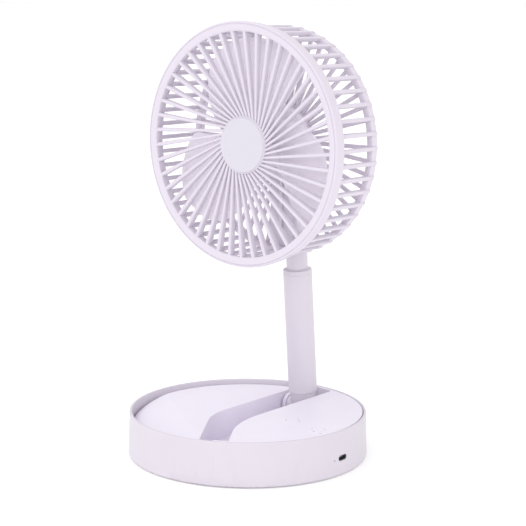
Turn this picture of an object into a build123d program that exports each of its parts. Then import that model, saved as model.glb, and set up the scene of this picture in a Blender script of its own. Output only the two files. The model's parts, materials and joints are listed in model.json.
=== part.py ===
"""Folding, telescopic, rechargeable desk fan.

Millimetres, +Z up, the grille looks along -Y. The origin is the centre of the
round base where its feet meet the table. Every piece is one named solid or one
group of identical solids, and each is written to parts/ under its own name.
"""

import os
from math import cos, radians, sin

from build123d import *

os.makedirs("parts", exist_ok=True)

# ---------------------------------------------------------------- dimensions
# Base drum
BASE_R = 98.0  # outer radius at the table
BASE_TOP_R = 97.1  # outer radius at the rim, so the wall has a slight draft
RIM_Z = 36.3
SHELL_BOTTOM = 0.8  # the feet lift the drum by this much
SHELL_WALL = 2.2
COVER_R = 95.5
COVER_TOP = 2.8
FOOT_R = 7.0
FOOT_TOP = 2.0
FOOT_CIRCLE_R = 80.0
BOSS_CIRCLE_R = 92.2
BOSS_R = 3.6
BOSS_TOP = 24.8
BOSS_COUNT = 6
BOSS_START = 10.0
SCREW_R = 1.5
SCREW_HEAD_R = 3.0
SCREW_LENGTH = 12.0
SCREW_SLOT = (3.6, 0.7)  # length and width of a base screw's cross slot
SCREW_RECESS = 0.1
RIM_ROUND = 0.8
WALL_FOOT_ROUND = 1.2
FOOT_ROUND = 0.5

# Top plate: two plateaus with an S-shaped trough for the folded pole between
PLATE_R = 94.3
PLATE_WALL = 2.2
RIGHT_Z = 35.9
LEFT_Z = 33.4
LEFT_THICK = 8.4  # a deep edge, so its shoulder can be well rounded
LEFT_SHOULDER = 7.5
LEFT_ROOF = 2.4  # thickness of the hollow left plateau
TROUGH_FLOOR = 10.0
TROUGH_LEFT = -18.0
TROUGH_RIGHT = 18.3
TROUGH_LEFT_BEND = -25.0  # where each side turns towards +X
TROUGH_RIGHT_BEND = -35.9
TROUGH_HEADING = (0.559, -0.829)
TROUGH_LEFT_ROUND = 60.0
TROUGH_RIGHT_ROUND = 90.0
FAR = 130.0  # past every edge of the base

# Hinge between base and pole
HINGE_Y = 74.63
HINGE_Z = 23.0
EAR_R = 8.6
EAR_INNER = 13.2
EAR_THICK = 3.3
PIN_R = 3.0
RUNNING = 0.05  # radial clearance of every running fit
KNUCKLE_R = 7.9
KNUCKLE_HALF = 12.8
WASHER_R = 6.5
WASHER_THICK = 0.3
PIN_INSET = 0.2
PIN_CHAMFER = 0.4

# Charging socket in the +X side
PORT_Z = 14.4
PORT_WIDTH = 10.5
PORT_HEIGHT = 4.5
SOCKET_WIDTH = 9.0
SOCKET_HEIGHT = 3.2
SOCKET_MOUTH = 93.0
SOCKET_DEPTH = 7.5
SOCKET_WALL = 0.3
SOCKET_BACK = 1.0
SOCKET_TONGUE = (6.6, 0.7)
CHARGE_LIGHT_Y = -10.0
CHARGE_LIGHT_Z = 13.8
LIGHT_R = 0.75
CHARGE_LIGHT_X = (90.0, 97.5)

# Buttons, their lights and the board below them
BUTTONS = {"power_button": (48.0, -2.0), "timer_button": (80.0, -9.0)}
BUTTON_R = 5.2
BUTTON_GAP = 0.3
BUTTON_TOP = 36.1
BUTTON_ROUND = 0.4
BUTTON_FLANGE_R = 6.6
BUTTON_FLANGE_Z = (32.0, 33.2)
STEM_R = 1.5
STEM_BOTTOM = 29.8
LIGHTS = ((55.6, -2.0), (81.0, -16.4), (88.4, -17.4))
BOARD_X = (26.0, 84.0)
BOARD_Y = (-25.0, 20.0)
BOARD_Z = (24.0, 25.6)
POST_INSET = 4.0
POST_R = 3.0
SWITCH_SIZE = 6.0
SWITCH_TOP = 29.1
SWITCH_TRAVEL = 0.7
CHIP_AT = (42.0, 6.0)
CHIP_SIZE = (9.0, 6.0, 1.6)
CHOKE_AT = (62.0, 6.0)
CHOKE_SIZE = (8.0, 8.0, 4.5)
CHOKE_CORNER_R = 1.5
BOARD_SCREW_LENGTH = 6.0
SMALL_SCREW_R = 1.25
SMALL_HEAD_R = 2.2
SMALL_HEAD = 1.3  # height of a small screw's head

# Charging board behind the socket, on four posts
CHARGE_BOARD_AT = (82.0, -2.0)
CHARGE_BOARD_SIZE = (20.0, 24.0, 1.6)
CHARGE_POSTS = (14.0, 18.0)  # spacing of the posts
CHARGE_POST_R = 1.8

# Battery: three round cells lying side by side under the left plateau
CELL_R = 9.2
CELL_LENGTH = 65.0
CELL_X = (-32.0, -51.0, -70.0)
CELL_Z = 13.0
CRADLE_TOP = 11.0
CRADLE_SIDE = 1.5  # left beyond the outer cells
CRADLE_END = 3.0
CELL_ROUND = 0.8
STRAP_THICK = 0.5
STRAP_HEIGHT = 6.0
STRAP_RISE = 2.5  # above the cells' axes
STRAP_REACH = 4.0  # past the outer cells' axes

# Pole: three tubes, one inside the other, leaning a little forwards
LEAN = 5.15
OUTER_R = 12.2
OUTER_BORE = 11.1
OUTER_ENDS = (13.9, 120.6)  # all pole lengths are measured from the hinge
MIDDLE_R = 10.45
MIDDLE_BORE = 9.65
MIDDLE_ENDS = (37.0, 121.2)
INNER_R = 9.05
INNER_BORE = 8.1
INNER_ENDS = (49.0, 145.0)
BUSH_LENGTH = 12.0
OUTER_LIP = 1.4
MIDDLE_LIP = 1.0
SLIDER_LENGTH = 8.0
FOOT_PLUG_END = 31.0
FOOT_FLARE = 5.0  # where the foot reaches its full width
TUBE_SEAT_GAP = 0.3
WIRE_BORE = 4.0
WIRE_BORE_START = 6.0
LEAD_COIL = (67.0, 125.0)
LEAD_COIL_R = (4.5, 6.5)
PIVOT_AT = 156.23
YOKE_R = 8.2
YOKE_HALF = 7.0
YOKE_NECK_R = 6.8
YOKE_PLUG_START = 131.0
YOKE_COLLAR = 1.2
TILT_PIN_R = 2.5
TILT_PIN_HALF = 11.2
TILT_HEAD_R = 4.2
TILT_HEAD_THICK = 1.5
TILT_WASHER = (7.15, 7.45)
TILT_WASHER_R = 7.0

# Head. Depths are measured forwards from the base's centre plane, so the
# back of the cage has a negative depth.
HEAD_Z = 253.8
RING_R = 97.6
RING_INNER_R = 89.5
RING_FRONT = 14.0
RING_FACE_ROUND = 0.4
RING_OUTER_SLOPE = 1.6
RING_INNER_SLOPE = 1.5
BAND_STEP = 0.9  # how much smaller the band is at its back
BAND_BACK = 3.5
BAND_BORE = 94.3
SEAT_DEPTH = 9.3  # where the rear cage butts against the front ring
FRONT_RIBS = 45
RIB_WIDTH = 2.8
RIB_DEPTH = (5.4, 3.2)  # at the ring and at the hub
RIB_SKEW = 11.0  # each rib passes this far from the middle
RIB_OUTER = (89.3, 13.3)  # radius and depth of a rib's front edge
RIB_INNER = (18.4, 8.1)
GRILLE_HUB_R = 23.0
GRILLE_HUB = (4.8, 9.3)
CAP_R = 21.9
CAP = (8.2, 9.7)
CAP_GAP = 0.15
CAP_ROUND = 0.6
SLATS = 50
SLAT_WIDTH = 3.0
SLAT_R = (90.6, 93.9)
SLAT_FRONT = 6.5
CAGE_BACK = -45.3
REAR_RIB_DEPTH = 2.5
SEAT_RING = (4.5, 9.3)
REAR_RING_R = (87.5, 92.9)
REAR_RING = (-44.8, -38.3)
REAR_HUB_R = 30.5
REAR_HUB_BORE = 28.0
REAR_HUB_PLATE = (-42.8, -40.3)
REAR_WIRE_HOLE_R = 5.0
SPINE_HALF = 12.0
SPINE_FRONT = -42.3
COVER_BACK = -47.3
COVER_ROUND = 1.5
MOTOR_COVER_R = 27.8
MOTOR_COVER_WALL = 2.0
MOTOR_COVER_HOLLOW = -45.3
GRILLE_SCREW_CIRCLE = 92.3
GRILLE_SCREW_R = 1.0
GRILLE_SCREW_LENGTH = 6.5
GRILLE_SCREW_BITE = 3.0  # depth of the hole in the front ring
GRILLE_HEAD_R = 1.6
GRILLE_HEAD = 1.2

# Motor and its mount
MOUNT_R = 30.0
MOUNT_FRONT = -34.0
MOUNT_THICK = 2.5
MOUNT_WALL = 2.0
MOUNT_SCREW_CIRCLE = 20.5
MOUNT_SCREW_START = 48.0
MOUNT_SCREWS = 4
MOUNT_BOSS_R = 3.6
MOUNT_WELL_R = 2.3
MOUNT_WELL_END = -38.0
MOTOR_R = 16.5
MOTOR_WALL = 1.2
MOTOR_FRONT = -13.0
MOTOR_BACK = -32.0
BEARING_R = 3.5
MOUNT_BORE = 4.0
SHAFT_R = 1.6
SHAFT = (-35.0, 1.2)
ARMATURE_R = 12.0
ARMATURE = (-29.0, -18.0)
MAGNET_R = (12.7, 15.3)
MAGNET = (-30.0, -17.0)
BEARING_LENGTH = 3.0
BEARING_CLEARANCE = 0.03
CAN_ROUND = 1.0
MOTOR_SCREW_CIRCLE = 9.0
MOTOR_SCREWS = 2
LEAD_R = 1.5
LEAD_GAP = 0.2  # below the cage's hub

# Impeller
BLADES = 3
BLADE_TIP_R = 84.5
BLADE_THICK = 1.6
BLADE_START = 98.0  # where the first blade's middle line points
# Camber of a blade: its hollow face across the blade, as width and depth
BLADE_CAMBER = ((-60.0, -26.5), (-8.0, -8.5), (50.0, 1.5))
# Outline of a blade that points along +X, from its low root round to its high one
BLADE_ROOT_ANGLE = -40.0
BLADE_LOW_EDGE = ((60.5, -51.0), (70.0, -45.8), (77.5, -33.6))
BLADE_TIP = ((84.3, -6.0), (81.5, 20.5))
BLADE_HIGH_EDGE = ((70.0, 33.5), (44.0, 37.5), (24.0, 24.0))
BLADE_HIGH_TANGENTS = ((-0.35, 0.94), (-0.6, -0.8))
BLADE_HIGH_ROOT = (14.0, 14.0)
BLADE_BEHIND = -40.0  # behind the whole impeller
HUB_R = 21.0
HUB_WALL = 1.8
HUB = (-22.0, 2.0)
HUB_FACE = 2.4
HUB_BOSS_R = 5.0
HUB_BOSS_END = -9.0
SPIN_CAP_R = 6.0
SPIN_CAP = (2.0, 4.2)
SPIN_CAP_ROUND = 1.0

# Tilt bracket on the back of the cage
BRACKET_HALF = 12.0
BRACKET_THICK = 2.0
BRACKET_CORNER_R = 3.0
BRACKET_HEAD = 1.0
BRACKET_Z = (169.5, 203.0)
BRACKET_SCREWS = ((-4.0, 173.5), (4.0, 173.5), (-8.0, 199.0), (8.0, 199.0))
BRACKET_EAR = (7.6, 10.9)
BRACKET_EAR_R = 8.5

# ------------------------------------------------------------------- frames
SIDE = Plane.XZ  # half sections of the base: radius across, height up
LEAN_DIR = (0, -sin(radians(LEAN)), cos(radians(LEAN)))
POLE = Plane(origin=(0, HINGE_Y, HINGE_Z), x_dir=(1, 0, 0), z_dir=LEAN_DIR)
PIVOT_Y = HINGE_Y + PIVOT_AT * LEAN_DIR[1]
PIVOT_Z = HINGE_Z + PIVOT_AT * LEAN_DIR[2]
HEAD = Plane(origin=(0, 0, HEAD_Z), x_dir=(1, 0, 0), z_dir=(0, -1, 0))
HEAD_AXIS = Axis((0, 0, HEAD_Z), (0, -1, 0))
# Half sections of the head: depth across, radius up
HEAD_SECTION = Plane(origin=(0, 0, HEAD_Z), x_dir=(0, -1, 0), z_dir=(-1, 0, 0))


def turned(plane, axis, corners, mode=Mode.ADD):
    """Revolve a closed outline, drawn on the plane, about the axis."""
    with BuildSketch(plane) as section:
        with BuildLine():
            Polyline(*corners, close=True)
        make_face()
    revolve(section.sketch, axis=axis, mode=mode)


def head_ring(depth, radius, mode=Mode.ADD):
    """A ring or disc about the fan's axis, between two depths and radii."""
    (back, front), (inner, outer) = depth, radius
    corners = [(back, inner), (front, inner), (front, outer), (back, outer)]
    turned(HEAD_SECTION, HEAD_AXIS, corners, mode)


def pole_ring(ends, outer, inner=0.0, mode=Mode.ADD):
    """A tube, or a solid rod, along the pole between two distances."""
    with BuildSketch(POLE.offset(ends[0])) as section:
        Circle(outer)
        if inner:
            Circle(inner, mode=Mode.SUBTRACT)
    extrude(section.sketch, amount=ends[1] - ends[0], mode=mode)


def cross_rod(center, x_range, radius, mode=Mode.ADD):
    """A rod parallel to X through (y, z), between two x values."""
    with BuildSketch(Plane.YZ.offset(x_range[0])) as section:
        with Locations(center):
            Circle(radius)
    extrude(section.sketch, amount=x_range[1] - x_range[0], mode=mode)


def finish(builder, name):
    """Label a finished piece and write it."""
    builder.part.label = name
    export_step(builder.part, f"parts/{name}.step")
    print(name, round(builder.part.volume), "mm3")


# --------------------------------------------------------------------- base
board_screw_places = [
    (x, y)
    for x in (BOARD_X[0] + POST_INSET, BOARD_X[1] - POST_INSET)
    for y in (BOARD_Y[0] + POST_INSET, BOARD_Y[1] - POST_INSET)
]

with BuildPart() as base_shell:
    turned(
        SIDE,
        Axis.Z,
        [
            (BASE_R - SHELL_WALL, SHELL_BOTTOM),
            (BASE_R, SHELL_BOTTOM),
            (BASE_TOP_R, RIM_Z),
            (BASE_TOP_R - SHELL_WALL, RIM_Z),
        ],
    )
    fillet(base_shell.edges().group_by(Axis.Z)[-1], radius=RIM_ROUND)
    outer_foot_edge = base_shell.edges().group_by(Axis.Z)[0].sort_by(SortBy.LENGTH)[-1]
    fillet(outer_foot_edge, radius=WALL_FOOT_ROUND)
    with BuildSketch(Plane.XY.offset(COVER_TOP)):
        with PolarLocations(BOSS_CIRCLE_R, BOSS_COUNT, start_angle=BOSS_START):
            Circle(BOSS_R)
            Circle(SCREW_R, mode=Mode.SUBTRACT)
    extrude(amount=BOSS_TOP - COVER_TOP)
    with BuildSketch(Plane.YZ.offset(BASE_R - 2 * SHELL_WALL)):
        with Locations((0, PORT_Z)):
            SlotOverall(PORT_WIDTH, PORT_HEIGHT)
        with Locations((CHARGE_LIGHT_Y, CHARGE_LIGHT_Z)):
            Circle(LIGHT_R)
    extrude(amount=3 * SHELL_WALL, mode=Mode.SUBTRACT)
finish(base_shell, "base_shell")

# The trough's outline, seen from above
with BuildSketch() as trough:
    dx, dy = TROUGH_HEADING
    with BuildLine():
        Polyline(
            (TROUGH_LEFT, FAR),
            (TROUGH_LEFT, TROUGH_LEFT_BEND),
            (TROUGH_LEFT + dx * FAR, TROUGH_LEFT_BEND + dy * FAR),
            (TROUGH_RIGHT + dx * FAR, TROUGH_RIGHT_BEND + dy * FAR),
            (TROUGH_RIGHT, TROUGH_RIGHT_BEND),
            (TROUGH_RIGHT, FAR),
            close=True,
        )
    make_face()
    left_bend = trough.vertices().sort_by_distance((TROUGH_LEFT, TROUGH_LEFT_BEND, 0))[0]
    fillet(left_bend, radius=TROUGH_LEFT_ROUND)
    right_bend = trough.vertices().sort_by_distance((TROUGH_RIGHT, TROUGH_RIGHT_BEND, 0))[0]
    fillet(right_bend, radius=TROUGH_RIGHT_ROUND)

with BuildSketch() as trough_walls:
    add(trough.sketch)
    offset(amount=PLATE_WALL)
    Circle(PLATE_R, mode=Mode.INTERSECT)


# Everything left of the trough's middle line
TROUGH_MIDDLE = (TROUGH_LEFT + TROUGH_RIGHT) / 2
MIDDLE_BEND = (TROUGH_LEFT_BEND + TROUGH_RIGHT_BEND) / 2
with BuildSketch() as left_half:
    with BuildLine():
        Polyline(
            (TROUGH_MIDDLE, FAR),
            (TROUGH_MIDDLE, MIDDLE_BEND),
            (TROUGH_MIDDLE + dx * FAR, MIDDLE_BEND + dy * FAR),
            (-FAR, -FAR),
            (-FAR, FAR),
            close=True,
        )
    make_face()

with BuildPart() as top_plate:
    with BuildSketch(Plane.XY.offset(LEFT_Z - LEFT_THICK)):
        Circle(PLATE_R)
        add(left_half.sketch, mode=Mode.INTERSECT)
    extrude(amount=LEFT_THICK)
    rim_edges = top_plate.edges().filter_by(GeomType.CIRCLE).group_by(Axis.Z)[-1]
    fillet(rim_edges, radius=LEFT_SHOULDER)
    with BuildSketch(Plane.XY.offset(LEFT_Z - LEFT_THICK)):
        Circle(PLATE_R - LEFT_SHOULDER)
        add(left_half.sketch, mode=Mode.INTERSECT)
    extrude(amount=LEFT_THICK - LEFT_ROOF, mode=Mode.SUBTRACT)
    with BuildSketch(Plane.XY.offset(RIGHT_Z - PLATE_WALL)):
        Circle(PLATE_R)
        add(left_half.sketch, mode=Mode.SUBTRACT)
    extrude(amount=PLATE_WALL)
    with BuildSketch(Plane.XY.offset(TROUGH_FLOOR - PLATE_WALL)):
        add(trough_walls.sketch)
    extrude(amount=LEFT_Z - TROUGH_FLOOR)
    with BuildSketch(Plane.XY.offset(TROUGH_FLOOR - PLATE_WALL)):
        add(trough_walls.sketch)
        add(left_half.sketch, mode=Mode.SUBTRACT)
    extrude(amount=RIGHT_Z - TROUGH_FLOOR)
    with BuildSketch(Plane.XY.offset(TROUGH_FLOOR)):
        add(trough.sketch)
        Circle(PLATE_R - PLATE_WALL, mode=Mode.INTERSECT)
    extrude(amount=RIM_Z, mode=Mode.SUBTRACT)
    # Ears of the hinge, standing on the trough's floor
    for ear_start in (EAR_INNER, -EAR_INNER - EAR_THICK):
        with BuildSketch(Plane.YZ.offset(ear_start)):
            with Locations((HINGE_Y, HINGE_Z)):
                Circle(EAR_R)
            with Locations((HINGE_Y, (HINGE_Z + TROUGH_FLOOR) / 2)):
                Rectangle(2 * EAR_R, HINGE_Z - TROUGH_FLOOR)
        extrude(amount=EAR_THICK)
    ear_end = EAR_INNER + EAR_THICK
    cross_rod((HINGE_Y, HINGE_Z), (-ear_end, ear_end), PIN_R, Mode.SUBTRACT)
    # Posts that carry the control board
    with BuildSketch(Plane.XY.offset(BOARD_Z[1])):
        with Locations(*board_screw_places):
            Circle(POST_R)
            Circle(SMALL_SCREW_R, mode=Mode.SUBTRACT)
    extrude(amount=RIGHT_Z - PLATE_WALL - BOARD_Z[1])
    # Openings for the buttons and their lights
    with BuildSketch(Plane.XY.offset(RIGHT_Z - PLATE_WALL)):
        with Locations(*BUTTONS.values()):
            Circle(BUTTON_R + BUTTON_GAP)
        with Locations(*LIGHTS):
            Circle(LIGHT_R)
    extrude(amount=PLATE_WALL, mode=Mode.SUBTRACT)
finish(top_plate, "top_plate")

with BuildPart() as bottom_cover:
    with BuildSketch(Plane.XY.offset(SHELL_BOTTOM)):
        Circle(COVER_R)
    extrude(amount=COVER_TOP - SHELL_BOTTOM)
    with BuildSketch(Plane.XY.offset(SHELL_BOTTOM)):
        with PolarLocations(FOOT_CIRCLE_R, 4, start_angle=45):
            Circle(FOOT_R)
        with PolarLocations(BOSS_CIRCLE_R, BOSS_COUNT, start_angle=BOSS_START):
            Circle(SCREW_HEAD_R)
    extrude(amount=FOOT_TOP - SHELL_BOTTOM, mode=Mode.SUBTRACT)
    with BuildSketch(Plane.XY.offset(SHELL_BOTTOM)):
        with PolarLocations(BOSS_CIRCLE_R, BOSS_COUNT, start_angle=BOSS_START):
            Circle(SCREW_R)
    extrude(amount=COVER_TOP - SHELL_BOTTOM, mode=Mode.SUBTRACT)
finish(bottom_cover, "bottom_cover")

with BuildPart() as rubber_feet:
    with BuildSketch():
        with PolarLocations(FOOT_CIRCLE_R, 4, start_angle=45):
            Circle(FOOT_R)
    extrude(amount=FOOT_TOP)
    fillet(rubber_feet.edges().group_by(Axis.Z)[0], radius=FOOT_ROUND)
finish(rubber_feet, "rubber_feet")

with BuildPart() as base_screws:
    with BuildSketch(Plane.XY.offset(SHELL_BOTTOM + SCREW_RECESS)):
        with PolarLocations(BOSS_CIRCLE_R, BOSS_COUNT, start_angle=BOSS_START):
            Circle(SCREW_HEAD_R - 2 * SCREW_RECESS)
    extrude(amount=FOOT_TOP - SHELL_BOTTOM - SCREW_RECESS)
    with BuildSketch(Plane.XY.offset(FOOT_TOP)):
        with PolarLocations(BOSS_CIRCLE_R, BOSS_COUNT, start_angle=BOSS_START):
            Circle(SCREW_R)
    extrude(amount=SCREW_LENGTH)
    with BuildSketch(Plane.XY.offset(SHELL_BOTTOM)):
        with PolarLocations(BOSS_CIRCLE_R, BOSS_COUNT, start_angle=BOSS_START):
            Rectangle(*SCREW_SLOT)
            Rectangle(*reversed(SCREW_SLOT))
    extrude(amount=SCREW_SLOT[1], mode=Mode.SUBTRACT)
finish(base_screws, "base_screws")

# -------------------------------------------------------- electrics in base
with BuildPart() as battery_cells:
    with BuildSketch(Plane.XZ.offset(-CELL_LENGTH / 2)):
        with Locations(*[(x, CELL_Z) for x in CELL_X]):
            Circle(CELL_R)
    extrude(amount=CELL_LENGTH)
    fillet(battery_cells.edges(), radius=CELL_ROUND)
finish(battery_cells, "battery_cells")

CRADLE_X = (CELL_X[2] - CELL_R - CRADLE_SIDE, CELL_X[0] + CELL_R + CRADLE_SIDE)
with BuildPart() as battery_cradle:
    with BuildSketch(Plane.XY.offset(COVER_TOP)):
        with Locations(((CRADLE_X[0] + CRADLE_X[1]) / 2, 0)):
            Rectangle(CRADLE_X[1] - CRADLE_X[0], CELL_LENGTH + 2 * CRADLE_END)
    extrude(amount=CRADLE_TOP - COVER_TOP)
    with BuildSketch(Plane.XZ.offset(-CELL_LENGTH / 2)):
        with Locations(*[(x, CELL_Z) for x in CELL_X]):
            Circle(CELL_R)
    extrude(amount=CELL_LENGTH, mode=Mode.SUBTRACT)
finish(battery_cradle, "battery_cradle")

with BuildPart() as cell_straps:
    for strap_y in (-CELL_LENGTH / 2 - STRAP_THICK, CELL_LENGTH / 2):
        with BuildSketch(Plane.XZ.offset(-strap_y - STRAP_THICK)):
            with Locations((CELL_X[1], CELL_Z + STRAP_RISE)):
                Rectangle(CELL_X[0] - CELL_X[2] + 2 * STRAP_REACH, STRAP_HEIGHT)
        extrude(amount=STRAP_THICK)
finish(cell_straps, "cell_straps")

with BuildPart() as control_board:
    with BuildSketch(Plane.XY.offset(BOARD_Z[0])):
        with Locations((sum(BOARD_X) / 2, sum(BOARD_Y) / 2)):
            Rectangle(BOARD_X[1] - BOARD_X[0], BOARD_Y[1] - BOARD_Y[0])
        with Locations(*board_screw_places):
            Circle(SMALL_SCREW_R, mode=Mode.SUBTRACT)
    extrude(amount=BOARD_Z[1] - BOARD_Z[0])
    # Controller chip and choke on the underside
    with BuildSketch(Plane.XY.offset(BOARD_Z[0])):
        with Locations(CHIP_AT):
            Rectangle(CHIP_SIZE[0], CHIP_SIZE[1])
    extrude(amount=-CHIP_SIZE[2])
    with BuildSketch(Plane.XY.offset(BOARD_Z[0])):
        with Locations(CHOKE_AT):
            RectangleRounded(CHOKE_SIZE[0], CHOKE_SIZE[1], CHOKE_CORNER_R)
    extrude(amount=-CHOKE_SIZE[2])
finish(control_board, "control_board")

with BuildPart() as touch_switches:
    with BuildSketch(Plane.XY.offset(BOARD_Z[1])):
        with Locations(*BUTTONS.values()):
            Rectangle(SWITCH_SIZE, SWITCH_SIZE)
    extrude(amount=SWITCH_TOP - SWITCH_TRAVEL - BOARD_Z[1])
    with BuildSketch(Plane.XY.offset(SWITCH_TOP - SWITCH_TRAVEL)):
        with Locations(*BUTTONS.values()):
            Circle(SWITCH_SIZE / 3)
    extrude(amount=SWITCH_TRAVEL)
finish(touch_switches, "touch_switches")

with BuildPart() as board_screws:
    with BuildSketch(Plane.XY.offset(BOARD_Z[0])):
        with Locations(*board_screw_places):
            Circle(SMALL_SCREW_R)
    extrude(amount=BOARD_SCREW_LENGTH)
    with BuildSketch(Plane.XY.offset(BOARD_Z[0])):
        with Locations(*board_screw_places):
            Circle(SMALL_HEAD_R)
    extrude(amount=-SMALL_HEAD)
finish(board_screws, "board_screws")

with BuildPart() as indicator_lights:
    with BuildSketch(Plane.XY.offset(BOARD_Z[1])):
        with Locations(*LIGHTS[:2]):
            Circle(LIGHT_R)
    extrude(amount=RIGHT_Z - BOARD_Z[1])
    with BuildSketch(Plane.XY.offset(RIGHT_Z - 2 * PLATE_WALL)):
        with Locations(LIGHTS[2]):
            Circle(LIGHT_R)
    extrude(amount=2 * PLATE_WALL)
finish(indicator_lights, "indicator_lights")

with BuildPart() as usb_socket:
    with BuildSketch(Plane.YZ.offset(SOCKET_MOUTH)):
        with Locations((0, PORT_Z)):
            SlotOverall(SOCKET_WIDTH, SOCKET_HEIGHT)
    extrude(amount=-SOCKET_DEPTH)
    with BuildSketch(Plane.YZ.offset(SOCKET_MOUTH)):
        with Locations((0, PORT_Z)):
            SlotOverall(SOCKET_WIDTH - 2 * SOCKET_WALL, SOCKET_HEIGHT - 2 * SOCKET_WALL)
    extrude(amount=SOCKET_BACK - SOCKET_DEPTH, mode=Mode.SUBTRACT)
    with BuildSketch(Plane.YZ.offset(SOCKET_MOUTH - SOCKET_DEPTH)):
        with Locations((0, PORT_Z)):
            Rectangle(*SOCKET_TONGUE)
    extrude(amount=SOCKET_DEPTH - SOCKET_BACK)
finish(usb_socket, "usb_socket")

SOCKET_BOARD_Z = PORT_Z - SOCKET_HEIGHT / 2
with BuildPart() as charge_board:
    with BuildSketch(Plane.XY.offset(SOCKET_BOARD_Z)):
        with Locations(CHARGE_BOARD_AT):
            Rectangle(CHARGE_BOARD_SIZE[0], CHARGE_BOARD_SIZE[1])
    extrude(amount=-CHARGE_BOARD_SIZE[2])
    with BuildSketch(Plane.XY.offset(COVER_TOP)):
        with Locations(CHARGE_BOARD_AT):
            with GridLocations(*CHARGE_POSTS, 2, 2):
                Circle(CHARGE_POST_R)
    extrude(amount=SOCKET_BOARD_Z - CHARGE_BOARD_SIZE[2] - COVER_TOP)
finish(charge_board, "charge_board")

with BuildPart() as charge_light:
    with BuildSketch(Plane.YZ.offset(CHARGE_LIGHT_X[0])):
        with Locations((CHARGE_LIGHT_Y, CHARGE_LIGHT_Z)):
            Circle(LIGHT_R)
    extrude(amount=CHARGE_LIGHT_X[1] - CHARGE_LIGHT_X[0])
finish(charge_light, "charge_light")

for button_name, place in BUTTONS.items():
    with BuildPart() as button:
        with BuildSketch(Plane.XY.offset(BUTTON_FLANGE_Z[1])):
            with Locations(place):
                Circle(BUTTON_R)
        extrude(amount=BUTTON_TOP - BUTTON_FLANGE_Z[1])
        fillet(button.edges().group_by(Axis.Z)[-1], radius=BUTTON_ROUND)
        with BuildSketch(Plane.XY.offset(BUTTON_FLANGE_Z[0])):
            with Locations(place):
                Circle(BUTTON_FLANGE_R)
        extrude(amount=BUTTON_FLANGE_Z[1] - BUTTON_FLANGE_Z[0])
        with BuildSketch(Plane.XY.offset(STEM_BOTTOM)):
            with Locations(place):
                Circle(STEM_R)
        extrude(amount=BUTTON_FLANGE_Z[0] - STEM_BOTTOM)
    finish(button, button_name)

# --------------------------------------------------------------- base hinge
with BuildPart() as hinge_pin:
    pin_end = EAR_INNER + EAR_THICK - PIN_INSET
    cross_rod((HINGE_Y, HINGE_Z), (-pin_end, pin_end), PIN_R)
    chamfer(hinge_pin.edges().filter_by(GeomType.CIRCLE), length=PIN_CHAMFER)
finish(hinge_pin, "hinge_pin")

with BuildPart() as hinge_washers:
    for washer_start in (EAR_INNER - WASHER_THICK, -EAR_INNER):
        with BuildSketch(Plane.YZ.offset(washer_start)):
            with Locations((HINGE_Y, HINGE_Z)):
                Circle(WASHER_R)
                Circle(PIN_R, mode=Mode.SUBTRACT)
        extrude(amount=WASHER_THICK)
finish(hinge_washers, "hinge_washers")

with BuildPart() as pole_foot:
    cross_rod((HINGE_Y, HINGE_Z), (-KNUCKLE_HALF, KNUCKLE_HALF), KNUCKLE_R)
    with BuildSketch(POLE):
        Circle(KNUCKLE_R)
    with BuildSketch(POLE.offset(FOOT_FLARE)):
        Circle(OUTER_BORE)
    loft()
    pole_ring((FOOT_FLARE, FOOT_PLUG_END), OUTER_BORE)
    pole_ring((OUTER_ENDS[0], FOOT_PLUG_END), OUTER_R + TUBE_SEAT_GAP, OUTER_BORE, Mode.SUBTRACT)
    with BuildSketch(POLE.offset(WIRE_BORE_START)):
        Circle(WIRE_BORE)
    extrude(amount=FOOT_PLUG_END, mode=Mode.SUBTRACT)
    cross_rod((HINGE_Y, HINGE_Z), (-FAR / 2, FAR / 2), PIN_R + RUNNING, Mode.SUBTRACT)
finish(pole_foot, "pole_foot")

# --------------------------------------------------------------------- pole
with BuildPart() as outer_tube:
    pole_ring(OUTER_ENDS, OUTER_R, OUTER_BORE)
finish(outer_tube, "outer_tube")

with BuildPart() as outer_bush:
    top = OUTER_ENDS[1]
    pole_ring((top - BUSH_LENGTH, top), OUTER_BORE, MIDDLE_R + RUNNING)
    pole_ring((top, top + OUTER_LIP), OUTER_R, MIDDLE_R + RUNNING)
finish(outer_bush, "outer_bush")

with BuildPart() as middle_tube:
    pole_ring(MIDDLE_ENDS, MIDDLE_R, MIDDLE_BORE)
finish(middle_tube, "middle_tube")

with BuildPart() as middle_slider:
    bottom = MIDDLE_ENDS[0]
    pole_ring((bottom, bottom + SLIDER_LENGTH), OUTER_BORE - RUNNING, MIDDLE_R)
finish(middle_slider, "middle_slider")

with BuildPart() as middle_bush:
    top = MIDDLE_ENDS[1]
    pole_ring((top - BUSH_LENGTH, top), MIDDLE_BORE, INNER_R + RUNNING)
    pole_ring((top, top + MIDDLE_LIP), MIDDLE_R, INNER_R + RUNNING)
finish(middle_bush, "middle_bush")

with BuildPart() as inner_tube:
    pole_ring(INNER_ENDS, INNER_R, INNER_BORE)
finish(inner_tube, "inner_tube")

with BuildPart() as inner_slider:
    bottom = INNER_ENDS[0]
    pole_ring((bottom, bottom + SLIDER_LENGTH), MIDDLE_BORE - RUNNING, INNER_R)
finish(inner_slider, "inner_slider")

with BuildPart() as coiled_lead:
    pole_ring(LEAD_COIL, LEAD_COIL_R[1], LEAD_COIL_R[0])
finish(coiled_lead, "coiled_lead")

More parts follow.
